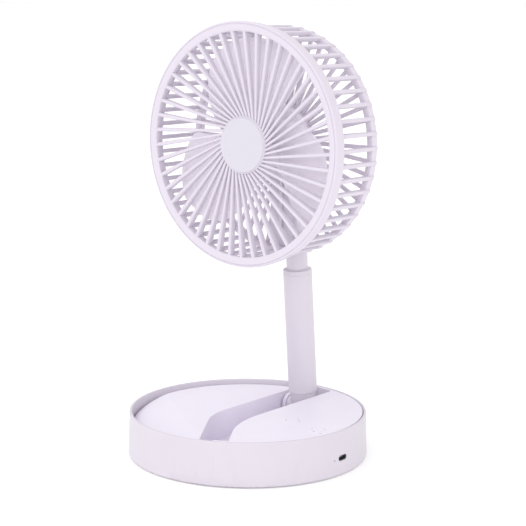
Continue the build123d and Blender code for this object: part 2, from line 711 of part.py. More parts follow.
with BuildPart() as tilt_yoke:
    tube_top = INNER_ENDS[1]
    pole_ring((YOKE_PLUG_START, tube_top), INNER_BORE)
    pole_ring((tube_top, tube_top + YOKE_COLLAR), INNER_R)
    pole_ring((tube_top, PIVOT_AT), YOKE_NECK_R)
    cross_rod((PIVOT_Y, PIVOT_Z), (-YOKE_HALF, YOKE_HALF), YOKE_R)
    with BuildSketch(POLE.offset(YOKE_PLUG_START)):
        Circle(WIRE_BORE)
    extrude(amount=tube_top - YOKE_PLUG_START, mode=Mode.SUBTRACT)
    cross_rod((PIVOT_Y, PIVOT_Z), (-FAR / 2, FAR / 2), TILT_PIN_R + RUNNING, Mode.SUBTRACT)
finish(tilt_yoke, "tilt_yoke")

# --------------------------------------------------------------- tilt hinge
with BuildPart() as tilt_pin:
    cross_rod((PIVOT_Y, PIVOT_Z), (-TILT_PIN_HALF, TILT_PIN_HALF), TILT_PIN_R)
    for head_start in (TILT_PIN_HALF, -TILT_PIN_HALF - TILT_HEAD_THICK):
        head_range = (head_start, head_start + TILT_HEAD_THICK)
        cross_rod((PIVOT_Y, PIVOT_Z), head_range, TILT_HEAD_R)
finish(tilt_pin, "tilt_pin")

with BuildPart() as tilt_washers:
    inner_face, outer_face = TILT_WASHER
    for washer_range in (TILT_WASHER, (-outer_face, -inner_face)):
        cross_rod((PIVOT_Y, PIVOT_Z), washer_range, TILT_WASHER_R)
    cross_rod((PIVOT_Y, PIVOT_Z), (-FAR / 2, FAR / 2), TILT_PIN_R, Mode.SUBTRACT)
finish(tilt_washers, "tilt_washers")

with BuildPart() as head_bracket:
    with BuildSketch(Plane.XZ.offset(CAGE_BACK - BRACKET_THICK)):
        with Locations((0, sum(BRACKET_Z) / 2)):
            RectangleRounded(2 * BRACKET_HALF, BRACKET_Z[1] - BRACKET_Z[0], BRACKET_CORNER_R)
    extrude(amount=BRACKET_THICK)
    for ear_start in (BRACKET_EAR[0], -BRACKET_EAR[1]):
        with BuildSketch(Plane.YZ.offset(ear_start)):
            with Locations((PIVOT_Y, PIVOT_Z)):
                Circle(BRACKET_EAR_R)
            with Locations(((PIVOT_Y - CAGE_BACK) / 2, PIVOT_Z)):
                Rectangle(PIVOT_Y + CAGE_BACK, 2 * BRACKET_EAR_R)
        extrude(amount=BRACKET_EAR[1] - BRACKET_EAR[0])
    cross_rod((PIVOT_Y, PIVOT_Z), (-FAR / 2, FAR / 2), TILT_PIN_R + RUNNING, Mode.SUBTRACT)
    with BuildSketch(Plane.XZ.offset(CAGE_BACK - BRACKET_THICK)):
        with Locations(*BRACKET_SCREWS):
            Circle(SMALL_SCREW_R)
    extrude(amount=BRACKET_THICK, mode=Mode.SUBTRACT)
finish(head_bracket, "head_bracket")

with BuildPart() as bracket_screws:
    with BuildSketch(Plane.XZ.offset(CAGE_BACK - BRACKET_THICK)):
        with Locations(*BRACKET_SCREWS):
            Circle(SMALL_SCREW_R)
    extrude(amount=BRACKET_THICK + REAR_RIB_DEPTH)
    with BuildSketch(Plane.XZ.offset(CAGE_BACK - BRACKET_THICK - BRACKET_HEAD)):
        with Locations(*BRACKET_SCREWS):
            Circle(SMALL_HEAD_R)
    extrude(amount=BRACKET_HEAD)
finish(bracket_screws, "bracket_screws")

# --------------------------------------------------------------------- head
# One front rib and one cage slat, drawn about the origin with the fan's axis
# along Z, and copied round the head by the grilles below.
with BuildPart() as front_rib:
    with BuildSketch(Plane.XZ.offset(RIB_SKEW)):
        with BuildLine():
            Polyline(
                RIB_OUTER,
                RIB_INNER,
                (RIB_INNER[0], RIB_INNER[1] - RIB_DEPTH[1]),
                (RIB_OUTER[0], RIB_OUTER[1] - RIB_DEPTH[0]),
                close=True,
            )
        make_face()
    extrude(amount=RIB_WIDTH / 2, both=True)

with BuildPart() as cage_slat:
    with BuildSketch(Plane.XZ):
        with BuildLine():
            Polyline(
                (SLAT_R[1], SLAT_FRONT),
                (SLAT_R[1], CAGE_BACK),
                (REAR_HUB_R - 1, CAGE_BACK),
                (REAR_HUB_R - 1, CAGE_BACK + REAR_RIB_DEPTH),
                (SLAT_R[0], CAGE_BACK + REAR_RIB_DEPTH),
                (SLAT_R[0], SLAT_FRONT),
                close=True,
            )
        make_face()
    extrude(amount=SLAT_WIDTH / 2, both=True)

half_slat = 180 / SLATS
GRILLE_SCREW_ANGLES = (90.0, 59 * half_slat, 91 * half_slat)
GRILLE_SCREW_PLACES = [
    (GRILLE_SCREW_CIRCLE * cos(radians(angle)), GRILLE_SCREW_CIRCLE * sin(radians(angle)))
    for angle in GRILLE_SCREW_ANGLES
]

with BuildPart() as front_grille:
    turned(
        HEAD_SECTION,
        HEAD_AXIS,
        [
            (BAND_BACK, BAND_BORE),
            (BAND_BACK, RING_R - BAND_STEP),
            (RING_FRONT - RING_OUTER_SLOPE, RING_R),
            (RING_FRONT - RING_FACE_ROUND, RING_R - RING_FACE_ROUND),
            (RING_FRONT, RING_R - RING_OUTER_SLOPE),
            (RING_FRONT, RING_INNER_R + RING_INNER_SLOPE),
            (RING_FRONT - RING_INNER_SLOPE / 2, RING_INNER_R),
            (SEAT_DEPTH, RING_INNER_R),
            (SEAT_DEPTH, BAND_BORE),
        ],
    )
    head_ring(GRILLE_HUB, (0, GRILLE_HUB_R))
    with Locations(HEAD):
        with PolarLocations(0, FRONT_RIBS):
            add(front_rib.part)
    head_ring((CAP[0], FAR), (0, CAP_R + CAP_GAP), Mode.SUBTRACT)
    with BuildSketch(HEAD.offset(SEAT_DEPTH)):
        with Locations(*GRILLE_SCREW_PLACES):
            Circle(GRILLE_SCREW_R)
    extrude(amount=GRILLE_SCREW_BITE, mode=Mode.SUBTRACT)
finish(front_grille, "front_grille")

with BuildPart() as centre_cap:
    head_ring(CAP, (0, CAP_R))
    fillet(centre_cap.edges().sort_by(Axis.Y)[0], radius=CAP_ROUND)
finish(centre_cap, "centre_cap")

with BuildPart() as rear_grille:
    head_ring(SEAT_RING, SLAT_R)
    head_ring(REAR_RING, REAR_RING_R)
    head_ring(REAR_HUB_PLATE, (REAR_WIRE_HOLE_R, REAR_HUB_R))
    head_ring((CAGE_BACK, REAR_HUB_PLATE[1]), (REAR_HUB_BORE, REAR_HUB_R))
    with BuildSketch(HEAD.offset(CAGE_BACK)):
        with Locations((0, -(REAR_HUB_R + REAR_RING_R[1] - 2) / 2)):
            Rectangle(2 * SPINE_HALF, REAR_RING_R[1] - REAR_HUB_R)
    extrude(amount=SPINE_FRONT - CAGE_BACK)
    with Locations(HEAD):
        with PolarLocations(0, SLATS):
            add(cage_slat.part)
    with BuildSketch(HEAD.offset(SEAT_RING[0])):
        with Locations(*GRILLE_SCREW_PLACES):
            Circle(GRILLE_SCREW_R)
    extrude(amount=SEAT_RING[1] - SEAT_RING[0], mode=Mode.SUBTRACT)
    with BuildSketch(HEAD.offset(REAR_HUB_PLATE[0])):
        with PolarLocations(MOUNT_SCREW_CIRCLE, MOUNT_SCREWS, start_angle=MOUNT_SCREW_START):
            Circle(SMALL_SCREW_R)
    extrude(amount=REAR_HUB_PLATE[1] - REAR_HUB_PLATE[0], mode=Mode.SUBTRACT)
    with BuildSketch(Plane.XZ.offset(CAGE_BACK)):
        with Locations(*BRACKET_SCREWS):
            Circle(SMALL_SCREW_R)
    extrude(amount=REAR_RIB_DEPTH, mode=Mode.SUBTRACT)
finish(rear_grille, "rear_grille")

with BuildPart() as grille_screws:
    with BuildSketch(HEAD.offset(SEAT_RING[0])):
        with Locations(*GRILLE_SCREW_PLACES):
            Circle(GRILLE_SCREW_R)
    extrude(amount=GRILLE_SCREW_LENGTH)
    with BuildSketch(HEAD.offset(SEAT_RING[0])):
        with Locations(*GRILLE_SCREW_PLACES):
            Circle(GRILLE_HEAD_R)
    extrude(amount=-GRILLE_HEAD)
finish(grille_screws, "grille_screws")

with BuildPart() as motor_cover:
    head_ring((COVER_BACK, REAR_HUB_PLATE[0]), (0, MOTOR_COVER_R))
    fillet(motor_cover.edges().sort_by(Axis.Y)[-1], radius=COVER_ROUND)
    hollow = (MOTOR_COVER_HOLLOW, REAR_HUB_PLATE[0])
    head_ring(hollow, (0, MOTOR_COVER_R - MOTOR_COVER_WALL), Mode.SUBTRACT)
finish(motor_cover, "motor_cover")

# -------------------------------------------------------------------- motor
with BuildPart() as motor_mount:
    head_ring((MOUNT_FRONT - MOUNT_THICK, MOUNT_FRONT), (MOUNT_BORE, MOUNT_R))
    head_ring((REAR_HUB_PLATE[1], MOUNT_FRONT), (MOUNT_R - MOUNT_WALL, MOUNT_R))
    with BuildSketch(HEAD.offset(REAR_HUB_PLATE[1])):
        with PolarLocations(MOUNT_SCREW_CIRCLE, MOUNT_SCREWS, start_angle=MOUNT_SCREW_START):
            Circle(MOUNT_BOSS_R)
    extrude(amount=MOUNT_FRONT - REAR_HUB_PLATE[1])
    with BuildSketch(HEAD.offset(REAR_HUB_PLATE[1])):
        with PolarLocations(MOUNT_SCREW_CIRCLE, MOUNT_SCREWS, start_angle=MOUNT_SCREW_START):
            Circle(SMALL_SCREW_R)
        with PolarLocations(MOTOR_SCREW_CIRCLE, MOTOR_SCREWS):
            Circle(SMALL_SCREW_R)
    extrude(amount=MOUNT_FRONT - REAR_HUB_PLATE[1], mode=Mode.SUBTRACT)
    with BuildSketch(HEAD.offset(MOUNT_WELL_END)):
        with PolarLocations(MOUNT_SCREW_CIRCLE, MOUNT_SCREWS, start_angle=MOUNT_SCREW_START):
            Circle(MOUNT_WELL_R)
    extrude(amount=MOUNT_FRONT - MOUNT_WELL_END, mode=Mode.SUBTRACT)
finish(motor_mount, "motor_mount")

with BuildPart() as mount_screws:
    with BuildSketch(HEAD.offset(REAR_HUB_PLATE[0])):
        with PolarLocations(MOUNT_SCREW_CIRCLE, MOUNT_SCREWS, start_angle=MOUNT_SCREW_START):
            Circle(SMALL_SCREW_R)
    extrude(amount=MOUNT_WELL_END - REAR_HUB_PLATE[0])
    with BuildSketch(HEAD.offset(MOUNT_WELL_END)):
        with PolarLocations(MOUNT_SCREW_CIRCLE, MOUNT_SCREWS, start_angle=MOUNT_SCREW_START):
            Circle(SMALL_HEAD_R)
    extrude(amount=SMALL_HEAD)
finish(mount_screws, "mount_screws")

with BuildPart() as motor_can:
    head_ring((MOTOR_BACK, MOTOR_FRONT), (0, MOTOR_R))
    fillet(motor_can.edges().sort_by(Axis.Y)[0], radius=CAN_ROUND)
    hollow = (MOTOR_BACK, MOTOR_FRONT - BEARING_LENGTH)
    head_ring(hollow, (0, MOTOR_R - MOTOR_WALL), Mode.SUBTRACT)
    head_ring((MOTOR_BACK, FAR), (0, BEARING_R), Mode.SUBTRACT)
finish(motor_can, "motor_can")

with BuildPart() as motor_end_bell:
    head_ring((MOUNT_FRONT, MOTOR_BACK), (BEARING_R, MOTOR_R))
    with BuildSketch(HEAD.offset(MOUNT_FRONT)):
        with PolarLocations(MOTOR_SCREW_CIRCLE, MOTOR_SCREWS):
            Circle(SMALL_SCREW_R)
    extrude(amount=MOTOR_BACK - MOUNT_FRONT, mode=Mode.SUBTRACT)
finish(motor_end_bell, "motor_end_bell")

with BuildPart() as motor_bearings:
    bearing = (SHAFT_R + BEARING_CLEARANCE, BEARING_R)
    head_ring((MOTOR_FRONT - BEARING_LENGTH, MOTOR_FRONT), bearing)
    head_ring((MOUNT_FRONT, MOTOR_BACK), bearing)
finish(motor_bearings, "motor_bearings")

with BuildPart() as motor_magnets:
    head_ring(MAGNET, MAGNET_R)
finish(motor_magnets, "motor_magnets")

with BuildPart() as motor_screws:
    with BuildSketch(HEAD.offset(MOUNT_FRONT - MOUNT_THICK)):
        with PolarLocations(MOTOR_SCREW_CIRCLE, MOTOR_SCREWS):
            Circle(SMALL_SCREW_R)
    extrude(amount=MOUNT_THICK + MOTOR_BACK - MOUNT_FRONT)
    with BuildSketch(HEAD.offset(MOUNT_FRONT - MOUNT_THICK)):
        with PolarLocations(MOTOR_SCREW_CIRCLE, MOTOR_SCREWS):
            Circle(SMALL_HEAD_R)
    extrude(amount=-SMALL_HEAD)
finish(motor_screws, "motor_screws")

# The motor's lead runs down the inside of the cage's spine to the bracket
LEAD_Y = -SPINE_FRONT - LEAD_R
with BuildPart() as motor_lead:
    with BuildSketch(Plane.XY.offset(PIVOT_Z)):
        with Locations((0, LEAD_Y)):
            Circle(LEAD_R)
    extrude(amount=HEAD_Z - REAR_HUB_R - LEAD_GAP - PIVOT_Z)
finish(motor_lead, "motor_lead")

with BuildPart() as motor_shaft:
    head_ring(SHAFT, (0, SHAFT_R))
finish(motor_shaft, "motor_shaft")

with BuildPart() as armature:
    head_ring(ARMATURE, (SHAFT_R, ARMATURE_R))
finish(armature, "armature")

# ----------------------------------------------------------------- impeller
# One blade about the origin, pointing along +X with the fan's axis along Z:
# a cambered, pitched sheet cut to the blade's outline.
back_face = [(across, depth - BLADE_THICK) for across, depth in BLADE_CAMBER]
with BuildPart() as blade:
    with BuildSketch(Plane.YZ):
        with BuildLine():
            ThreePointArc(*BLADE_CAMBER)
            Line(BLADE_CAMBER[-1], back_face[-1])
            ThreePointArc(*back_face)
            Line(back_face[0], BLADE_CAMBER[0])
        make_face()
    extrude(amount=BLADE_TIP_R + 1)
    with BuildSketch(Plane.XY.offset(BLADE_BEHIND)):
        with BuildLine():
            root = PolarLine((0, 0), HUB_R - 1, BLADE_ROOT_ANGLE)
            Line(root @ 1, BLADE_LOW_EDGE[0])
            ThreePointArc(*BLADE_LOW_EDGE)
            ThreePointArc(BLADE_LOW_EDGE[-1], *BLADE_TIP)
            Spline(BLADE_TIP[-1], *BLADE_HIGH_EDGE, tangents=BLADE_HIGH_TANGENTS)
            Polyline(BLADE_HIGH_EDGE[-1], BLADE_HIGH_ROOT, (0, 0))
        make_face()
    extrude(amount=FAR, mode=Mode.INTERSECT)

with BuildPart() as impeller:
    head_ring(HUB, (HUB_R - HUB_WALL, HUB_R))
    head_ring((HUB[1] - HUB_FACE, HUB[1]), (SHAFT_R, HUB_R))
    head_ring((HUB_BOSS_END, HUB[1]), (SHAFT_R, HUB_BOSS_R))
    with Locations(HEAD):
        with PolarLocations(0, BLADES, start_angle=BLADE_START):
            add(blade.part)
    head_ring((BLADE_BEHIND, HUB[1] - HUB_FACE), (HUB_BOSS_R, HUB_R - HUB_WALL), Mode.SUBTRACT)
    head_ring((BLADE_BEHIND, FAR), (0, SHAFT_R), Mode.SUBTRACT)
    head_ring((BLADE_BEHIND, HUB_BOSS_END), (0, HUB_R - HUB_WALL), Mode.SUBTRACT)
finish(impeller, "impeller")

with BuildPart() as spin_cap:
    head_ring(SPIN_CAP, (0, SPIN_CAP_R))
    fillet(spin_cap.edges().sort_by(Axis.Y)[0], radius=SPIN_CAP_ROUND)
finish(spin_cap, "spin_cap")
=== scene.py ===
"""Looks of the folding desk fan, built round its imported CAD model. Metres, +Z up, the fan faces -Y."""

import json
import math

import bmesh
import bpy
from mathutils import Matrix, Vector


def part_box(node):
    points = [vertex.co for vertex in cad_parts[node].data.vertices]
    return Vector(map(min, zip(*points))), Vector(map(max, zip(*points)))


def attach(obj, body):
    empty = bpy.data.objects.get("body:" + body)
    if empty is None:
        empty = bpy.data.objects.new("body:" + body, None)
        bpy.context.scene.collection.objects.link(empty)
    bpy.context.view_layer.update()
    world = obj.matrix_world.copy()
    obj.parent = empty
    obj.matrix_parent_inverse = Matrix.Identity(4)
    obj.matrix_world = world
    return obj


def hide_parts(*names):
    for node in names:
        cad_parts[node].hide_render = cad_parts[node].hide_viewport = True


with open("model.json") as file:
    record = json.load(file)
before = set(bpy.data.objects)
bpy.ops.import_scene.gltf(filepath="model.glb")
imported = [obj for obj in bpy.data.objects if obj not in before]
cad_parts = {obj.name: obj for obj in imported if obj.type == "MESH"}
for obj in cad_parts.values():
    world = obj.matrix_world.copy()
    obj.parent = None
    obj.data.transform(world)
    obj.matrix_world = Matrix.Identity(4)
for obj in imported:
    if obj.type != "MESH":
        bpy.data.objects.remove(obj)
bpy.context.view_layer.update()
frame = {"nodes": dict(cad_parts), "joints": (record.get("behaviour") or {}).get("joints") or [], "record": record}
nodes = frame["nodes"]
joints = {joint["name"]: joint for joint in frame["joints"]}

MM = 0.001
HEAD = Vector(joints["blade_spin"]["pos_m"])
HINGE = Vector(joints["pole_fold"]["pos_m"])
FRONT = Vector((0, -1, 0))
RIGHT = Vector((1, 0, 0))
UP = Vector((0, 0, 1))
POLE_DIR = Vector(joints["middle_slide"]["axis"]).normalized()
ROUND = 2 * math.pi
FINE_STEPS = 180
SMALL_STEPS = 64
TUBE_STEPS = 96

# The tray, seen from above: its two levels, and where its left front starts to slope
TRAY_TOPS = (33.4 * MM, 35.9 * MM)
SHOULDER = 8.4 * MM
TROUGH_EDGE = 2.4 * MM
TROUGH_END_R = 91.9 * MM
BUTTON_SIDE = 38 * MM
BUTTON_FRONT = -30 * MM
SLOPE_DIR = Vector((-0.595, -0.804, 0))
SLOPE_START = 52 * MM
SLOPE = 0.16
SLOPE_EASE = 6 * MM
SLOPE_CUTS = 10
SLOPE_CUT_GAP = 4 * MM

# The charging port: its face, its black surround and its tongue
PORT_FACE = 97.1 * MM
PORT_DEPTH = 6 * MM
PORT_OUTER = (10.3 * MM, 4.3 * MM)
PORT_MOUTH = (8.7 * MM, 2.7 * MM)
PORT_INNER = (8.5 * MM, 2.5 * MM)
PORT_CHAMFER = 0.3 * MM
TONGUE_SIZE = (8 * MM, 6.0 * MM, 0.5 * MM)
TONGUE_INSET = 1.8 * MM


# ------------------------------------------------------------ camera and light
def make_camera():
    """A long lens looking down ten degrees on the fan, from its front right."""
    azimuth, elevation = math.radians(39.51), math.radians(10.16)
    target = Vector((0.0089, 0.00733, 0.15775))
    distance, lens, roll = 1.2, 101.55, math.radians(0.45)
    back = Vector(
        (
            math.sin(azimuth) * math.cos(elevation),
            -math.cos(azimuth) * math.cos(elevation),
            math.sin(elevation),
        )
    )
    camera = bpy.data.objects.new("camera", bpy.data.cameras.new("camera"))
    camera.data.lens = lens
    camera.data.sensor_width = 36
    camera.data.clip_end = 100
    turn = back.to_track_quat("Z", "Y").to_matrix().to_4x4()
    camera.matrix_world = Matrix.Translation(target + distance * back) @ turn @ Matrix.Rotation(roll, 4, "Z")
    bpy.context.scene.collection.objects.link(camera)
    bpy.context.scene.camera = camera


def make_sun(name, azimuth, elevation, strength, softness):
    """A broad soft light from one side of the sky; azimuth 0 is the fan's front."""
    a, e = math.radians(azimuth), math.radians(elevation)
    towards = Vector((math.sin(a) * math.cos(e), -math.cos(a) * math.cos(e), math.sin(e)))
    light = bpy.data.lights.new(name, "SUN")
    light.energy = strength
    light.angle = math.radians(softness)
    lamp = bpy.data.objects.new(name, light)
    lamp.rotation_euler = towards.to_track_quat("Z", "Y").to_euler()
    bpy.context.scene.collection.objects.link(lamp)


def make_studio():
    """White surroundings, a soft light from the upper left, one beside the camera and a pale floor."""
    world = bpy.data.worlds.new("studio")
    world.use_nodes = True
    sky = world.node_tree.nodes["Background"]
    sky.inputs["Color"].default_value = (1, 1, 1, 1)
    sky.inputs["Strength"].default_value = 1.0
    bpy.context.scene.world = world
    bpy.context.scene.view_settings.view_transform = "Standard"
    make_sun("key_light", -55, 55, 0.38, 50)
    make_sun("front_light", 34, 16, 0.55, 25)
    bm = bmesh.new()
    bmesh.ops.create_circle(bm, cap_ends=True, segments=64, radius=60)
    mesh = bpy.data.meshes.new("floor")
    bm.to_mesh(mesh)
    floor = bpy.data.objects.new("floor", mesh)
    bpy.context.scene.collection.objects.link(floor)
    paint = bpy.data.materials.new("floor")
    paint.use_nodes = True
    shader = paint.node_tree.nodes["Principled BSDF"]
    shader.inputs["Base Color"].default_value = (0.95, 0.95, 0.95, 1)
    shader.inputs["Roughness"].default_value = 0.9
    shader.inputs["Specular IOR Level"].default_value = 0.1
    shader.inputs["Emission Color"].default_value = (1, 1, 1, 1)
    shader.inputs["Emission Strength"].default_value = 0.12
    mesh.materials.append(paint)


# ------------------------------------------------------------------- materials
def add_noise(tree, scale, detail=2.0, roughness=0.5):
    """A noise texture on the piece's own coordinates."""
    place = tree.nodes.new("ShaderNodeTexCoord")
    noise = tree.nodes.new("ShaderNodeTexNoise")
    noise.inputs["Scale"].default_value = scale
    noise.inputs["Detail"].default_value = detail
    noise.inputs["Roughness"].default_value = roughness
    tree.links.new(place.outputs["Object"], noise.inputs["Vector"])
    return noise


def add_range(tree, source, low, high):
    """Stretch a 0..1 value to a range."""
    span = tree.nodes.new("ShaderNodeMapRange")
    span.inputs["To Min"].default_value = low
    span.inputs["To Max"].default_value = high
    tree.links.new(source, span.inputs["Value"])
    return span.outputs["Result"]


def make_finish(name, colour, rough, grain=0.0, grain_scale=2500.0, mottle=0.02, metallic=0.0, coat=0.0):
    """A moulded or metal finish: faint mottling, uneven gloss and a fine surface grain."""
    material = bpy.data.materials.new(name)
    material.use_nodes = True
    tree = material.node_tree
    shader = tree.nodes["Principled BSDF"]
    cloud = add_noise(tree, 45.0, 3.0)
    tint = tree.nodes.new("ShaderNodeMix")
    tint.data_type = "RGBA"
    tint.inputs["A"].default_value = (*[c * (1 - mottle) for c in colour], 1)
    tint.inputs["B"].default_value = (*[min(1.0, c * (1 + mottle)) for c in colour], 1)
    tree.links.new(cloud.outputs["Fac"], tint.inputs["Factor"])
    tree.links.new(tint.outputs["Result"], shader.inputs["Base Color"])
    smudge = add_noise(tree, 120.0, 4.0, 0.6)
    gloss = add_range(tree, smudge.outputs["Fac"], rough - 0.06, rough + 0.06)
    tree.links.new(gloss, shader.inputs["Roughness"])
    shader.inputs["Metallic"].default_value = metallic
    shader.inputs["Coat Weight"].default_value = coat
    shader.inputs["Coat Roughness"].default_value = 0.25
    if grain:
        fine = add_noise(tree, grain_scale, 2.0)
        broad = add_noise(tree, 60.0, 1.0)
        bump = tree.nodes.new("ShaderNodeBump")
        bump.inputs["Strength"].default_value = grain
        bump.inputs["Distance"].default_value = 0.04 * MM
        tree.links.new(fine.outputs["Fac"], bump.inputs["Height"])
        wave = tree.nodes.new("ShaderNodeBump")
        wave.inputs["Strength"].default_value = 0.25
        wave.inputs["Distance"].default_value = 0.12 * MM
        tree.links.new(broad.outputs["Fac"], wave.inputs["Height"])
        tree.links.new(bump.outputs["Normal"], wave.inputs["Normal"])
        tree.links.new(wave.outputs["Normal"], shader.inputs["Normal"])
    return material


def make_finishes():
    """One finish for each material slot of the record."""
    return {
        # The housing is darker than the tray and the buttons, though all are one plastic: painted shade on the
        # upright walls and tubes, and painted light on the tray's top.
        "housing": make_finish("housing", (0.655, 0.61, 0.68), 0.42, grain=0.35),
        "tray": make_finish("tray", (0.80, 0.755, 0.86), 0.42, grain=0.3),
        "grille": make_finish("grille", (0.685, 0.635, 0.72), 0.38, grain=0.25),
        "cap": make_finish("cap", (0.63, 0.605, 0.68), 0.36, grain=0.15),
        # The blade finish is much lighter than the grille's, though both are one white plastic: painted light that
        # lifts the shade among the ribs and behind the hub.
        "blade": make_finish("blade", (0.93, 0.88, 0.955), 0.33, grain=0.1),
        "buttons": make_finish("buttons", (0.80, 0.755, 0.86), 0.38, grain=0.2),
        "lens": make_finish("lens", (0.45, 0.43, 0.50), 0.18, mottle=0.01, coat=0.4),
        "rubber": make_finish("rubber", (0.42, 0.41, 0.43), 0.75, grain=0.8, grain_scale=1500),
        "bush": make_finish("bush", (0.74, 0.70, 0.78), 0.5, grain=0.3),
        "steel": make_finish("steel", (0.62, 0.62, 0.64), 0.32, grain=0.3, metallic=1.0),
        "bronze": make_finish("bronze", (0.68, 0.47, 0.25), 0.4, grain=0.5, metallic=1.0),
        "magnet": make_finish("magnet", (0.16, 0.16, 0.17), 0.5, grain=0.8),
        "cell_wrap": make_finish("cell_wrap", (0.10, 0.34, 0.42), 0.3, grain=0.1),
        "black_plastic": make_finish("black_plastic", (0.03, 0.03, 0.034), 0.45, grain=0.5),
        "circuit_board": make_finish("circuit_board", (0.05, 0.25, 0.11), 0.35, grain=0.2),
        "lead": make_finish("lead", (0.72, 0.70, 0.74), 0.55, grain=0.3),
    }


# ------------------------------------------------------------------ mesh tools
def round_edges(bm, edges, width, segments=2):
    """Round the edges with a bevel of the given width."""
    bmesh.ops.bevel(
        bm,
        geom=edges,
        offset=width,
        offset_type="OFFSET",
        affect="EDGES",
        segments=segments,
        profile=0.5,
        material=-1,
        clamp_overlap=True,
    )


def bevel_sharp(bm, width, least=30.0, edges=None):
    """Round every edge, or every one of those given, that turns by more than the least angle."""
    chosen = bm.edges if edges is None else edges
    sharp = [e for e in chosen if len(e.link_faces) == 2 and e.calc_face_angle(0) > math.radians(least)]
    round_edges(bm, sharp, width)


def spin_outline(bm, outline, centre, axis, across, steps=FINE_STEPS, closed=True):
    """Spin an outline of (distance along the axis, radius) pairs in metres once round."""
    verts = [bm.verts.new(centre + axis * along + across * radius) for along, radius in outline]
    edges = [bm.edges.new(pair) for pair in zip(verts, verts[1:])]
    if closed:
        edges.append(bm.edges.new((verts[-1], verts[0])))
    bmesh.ops.spin(bm, geom=verts + edges, cent=centre, axis=axis, angle=ROUND, steps=steps, use_merge=True)
    bmesh.ops.remove_doubles(bm, verts=bm.verts, dist=1e-6)


def in_metres(pairs):
    """Outline pairs given in millimetres, in metres."""
    return [(along * MM, radius * MM) for along, radius in pairs]


def added_since(bm, before):
    """The vertices that are new since the earlier set was taken."""
    return [v for v in bm.verts if v not in before]


def edges_of(verts):
    """Every edge that touches the vertices."""
    return list({e for v in verts for e in v.link_edges})


def faces_of(verts):
    """Every face that touches the vertices."""
    return list({f for v in verts for f in v.link_faces})


def repeat_round(bm, verts, count):
    """Copy a part round the fan's axis, count times in all."""
    bmesh.ops.spin(
        bm,
        geom=verts + edges_of(verts) + faces_of(verts),
        cent=HEAD,
        axis=FRONT,
        angle=ROUND * (count - 1) / count,
        steps=count - 1,
        use_duplicate=True,
    )


def bar_along(bm, stations, width_line, segments=12):
    """A bar with round front and back through (centre, width, depth) stations, closed at both ends."""
    loops = []
    for (centre, width, thick), (behind, *_), (ahead, *_) in zip(
        stations, [stations[0], *stations[:-1]], [*stations[1:], stations[-1]]
    ):
        along = (ahead - behind).normalized()
        side = width_line.normalized()
        outward = along.cross(side)
        turn = Matrix((side, outward, along)).transposed().to_4x4()
        loop = bmesh.ops.create_circle(bm, segments=segments, radius=width / 2)["verts"]
        half = (thick - width) / 2
        for v in loop:
            v.co.y += half if v.co.y > 0 else -half
        bmesh.ops.transform(bm, matrix=Matrix.Translation(centre) @ turn, verts=loop)
        loops.append(edges_of(loop))
    for near, far in zip(loops, loops[1:]):
        bmesh.ops.bridge_loops(bm, edges=near + far)
    bmesh.ops.holes_fill(bm, edges=loops[0] + loops[-1], sides=segments)


def add_piece(bm, name, body, slot, replaces=(), smooth=35.0, flip=True):
    """Make a finished piece of the mesh, on its body and in its finish."""
    if flip:
        bmesh.ops.recalc_face_normals(bm, faces=bm.faces)
    mesh = bpy.data.meshes.new(name)
    bm.to_mesh(mesh)
    bm.free()
    for polygon in mesh.polygons:
        polygon.use_smooth = True
    mesh.set_sharp_from_angle(angle=math.radians(smooth))
    piece = bpy.data.objects.new(name, mesh)
    bpy.context.scene.collection.objects.link(piece)
    mesh.materials.append(finishes[slot])
    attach(piece, body)
    if replaces:
        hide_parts(*replaces)
    return piece


def box_mesh(bm, low, high):
    """A plain block between two corners."""
    made = bmesh.ops.create_cube(bm, size=1)
    low, high = Vector(low), Vector(high)
    bmesh.ops.scale(bm, vec=high - low, verts=made["verts"])
    bmesh.ops.translate(bm, vec=(low + high) / 2, verts=made["verts"])
    return made["verts"]


# ------------------------------------------------------------------------ head
FRONT_RIBS = 45
RIB_SKEW = 11.0
RIB_START = math.radians(-1.5)
SLATS = 50
# How far along a rib its sections lie, and at the ring and at the hub, in millimetres,
# its distance from the axis, width, thickness and the depth of its front
RIB_STATIONS = (0, 0.02, 0.35, 0.7, 1)
RIB_SIZES = ((90.4, 19.4), (3.4, 2.1), (7.0, 3.2), (13.5, 8.2))
SLAT_WIDTH = 3.3
SPINE_HALF = 12
SPINE_REACH = (91, 30)
SPINE_DEPTH = (42.3, 45.3)


def make_front_grille():
    """Crowned ring with a fine groove, skewed slim ribs and the hub that holds the cap."""
    bm = bmesh.new()
    ring = [
        (3.5, 94.3),
        (3.5, 96.7),
        (12.6, 97.6),
        (13.5, 97.25),
        (13.95, 96.3),
        (13.95, 95.9),
        (13.45, 95.7),
        (13.45, 95.3),
        (14.0, 95.1),
        (14.0, 91.2),
        (13.7, 90.2),
        (12.9, 89.5),
        (9.3, 89.5),
        (9.3, 94.3),
    ]
    spin_outline(bm, in_metres(ring), HEAD, FRONT, UP)
    hub = [(4.8, 0), (4.8, 22.4), (5.4, 23.0), (8.7, 23.0), (9.3, 22.6), (9.3, 22.05), (8.2, 22.05), (8.2, 0)]
    spin_outline(bm, in_metres(hub), HEAD, FRONT, UP, closed=False)
    before = set(bm.verts)
    stations = []
    for share in RIB_STATIONS:
        radius, width, thick, face = (ring + (hub - ring) * share for ring, hub in RIB_SIZES)
        depth = face - thick / 2
        centre = HEAD + MM * (RIGHT * radius - UP * RIB_SKEW + FRONT * depth)
        stations.append((centre, width * MM, thick * MM))
    bar_along(bm, stations, UP)
    rib = added_since(bm, before)
    bmesh.ops.rotate(bm, cent=HEAD, matrix=Matrix.Rotation(RIB_START, 3, FRONT), verts=rib)
    repeat_round(bm, rib, FRONT_RIBS)
    add_piece(bm, "front_grille_shell", "head", "grille", ["front_grille"])


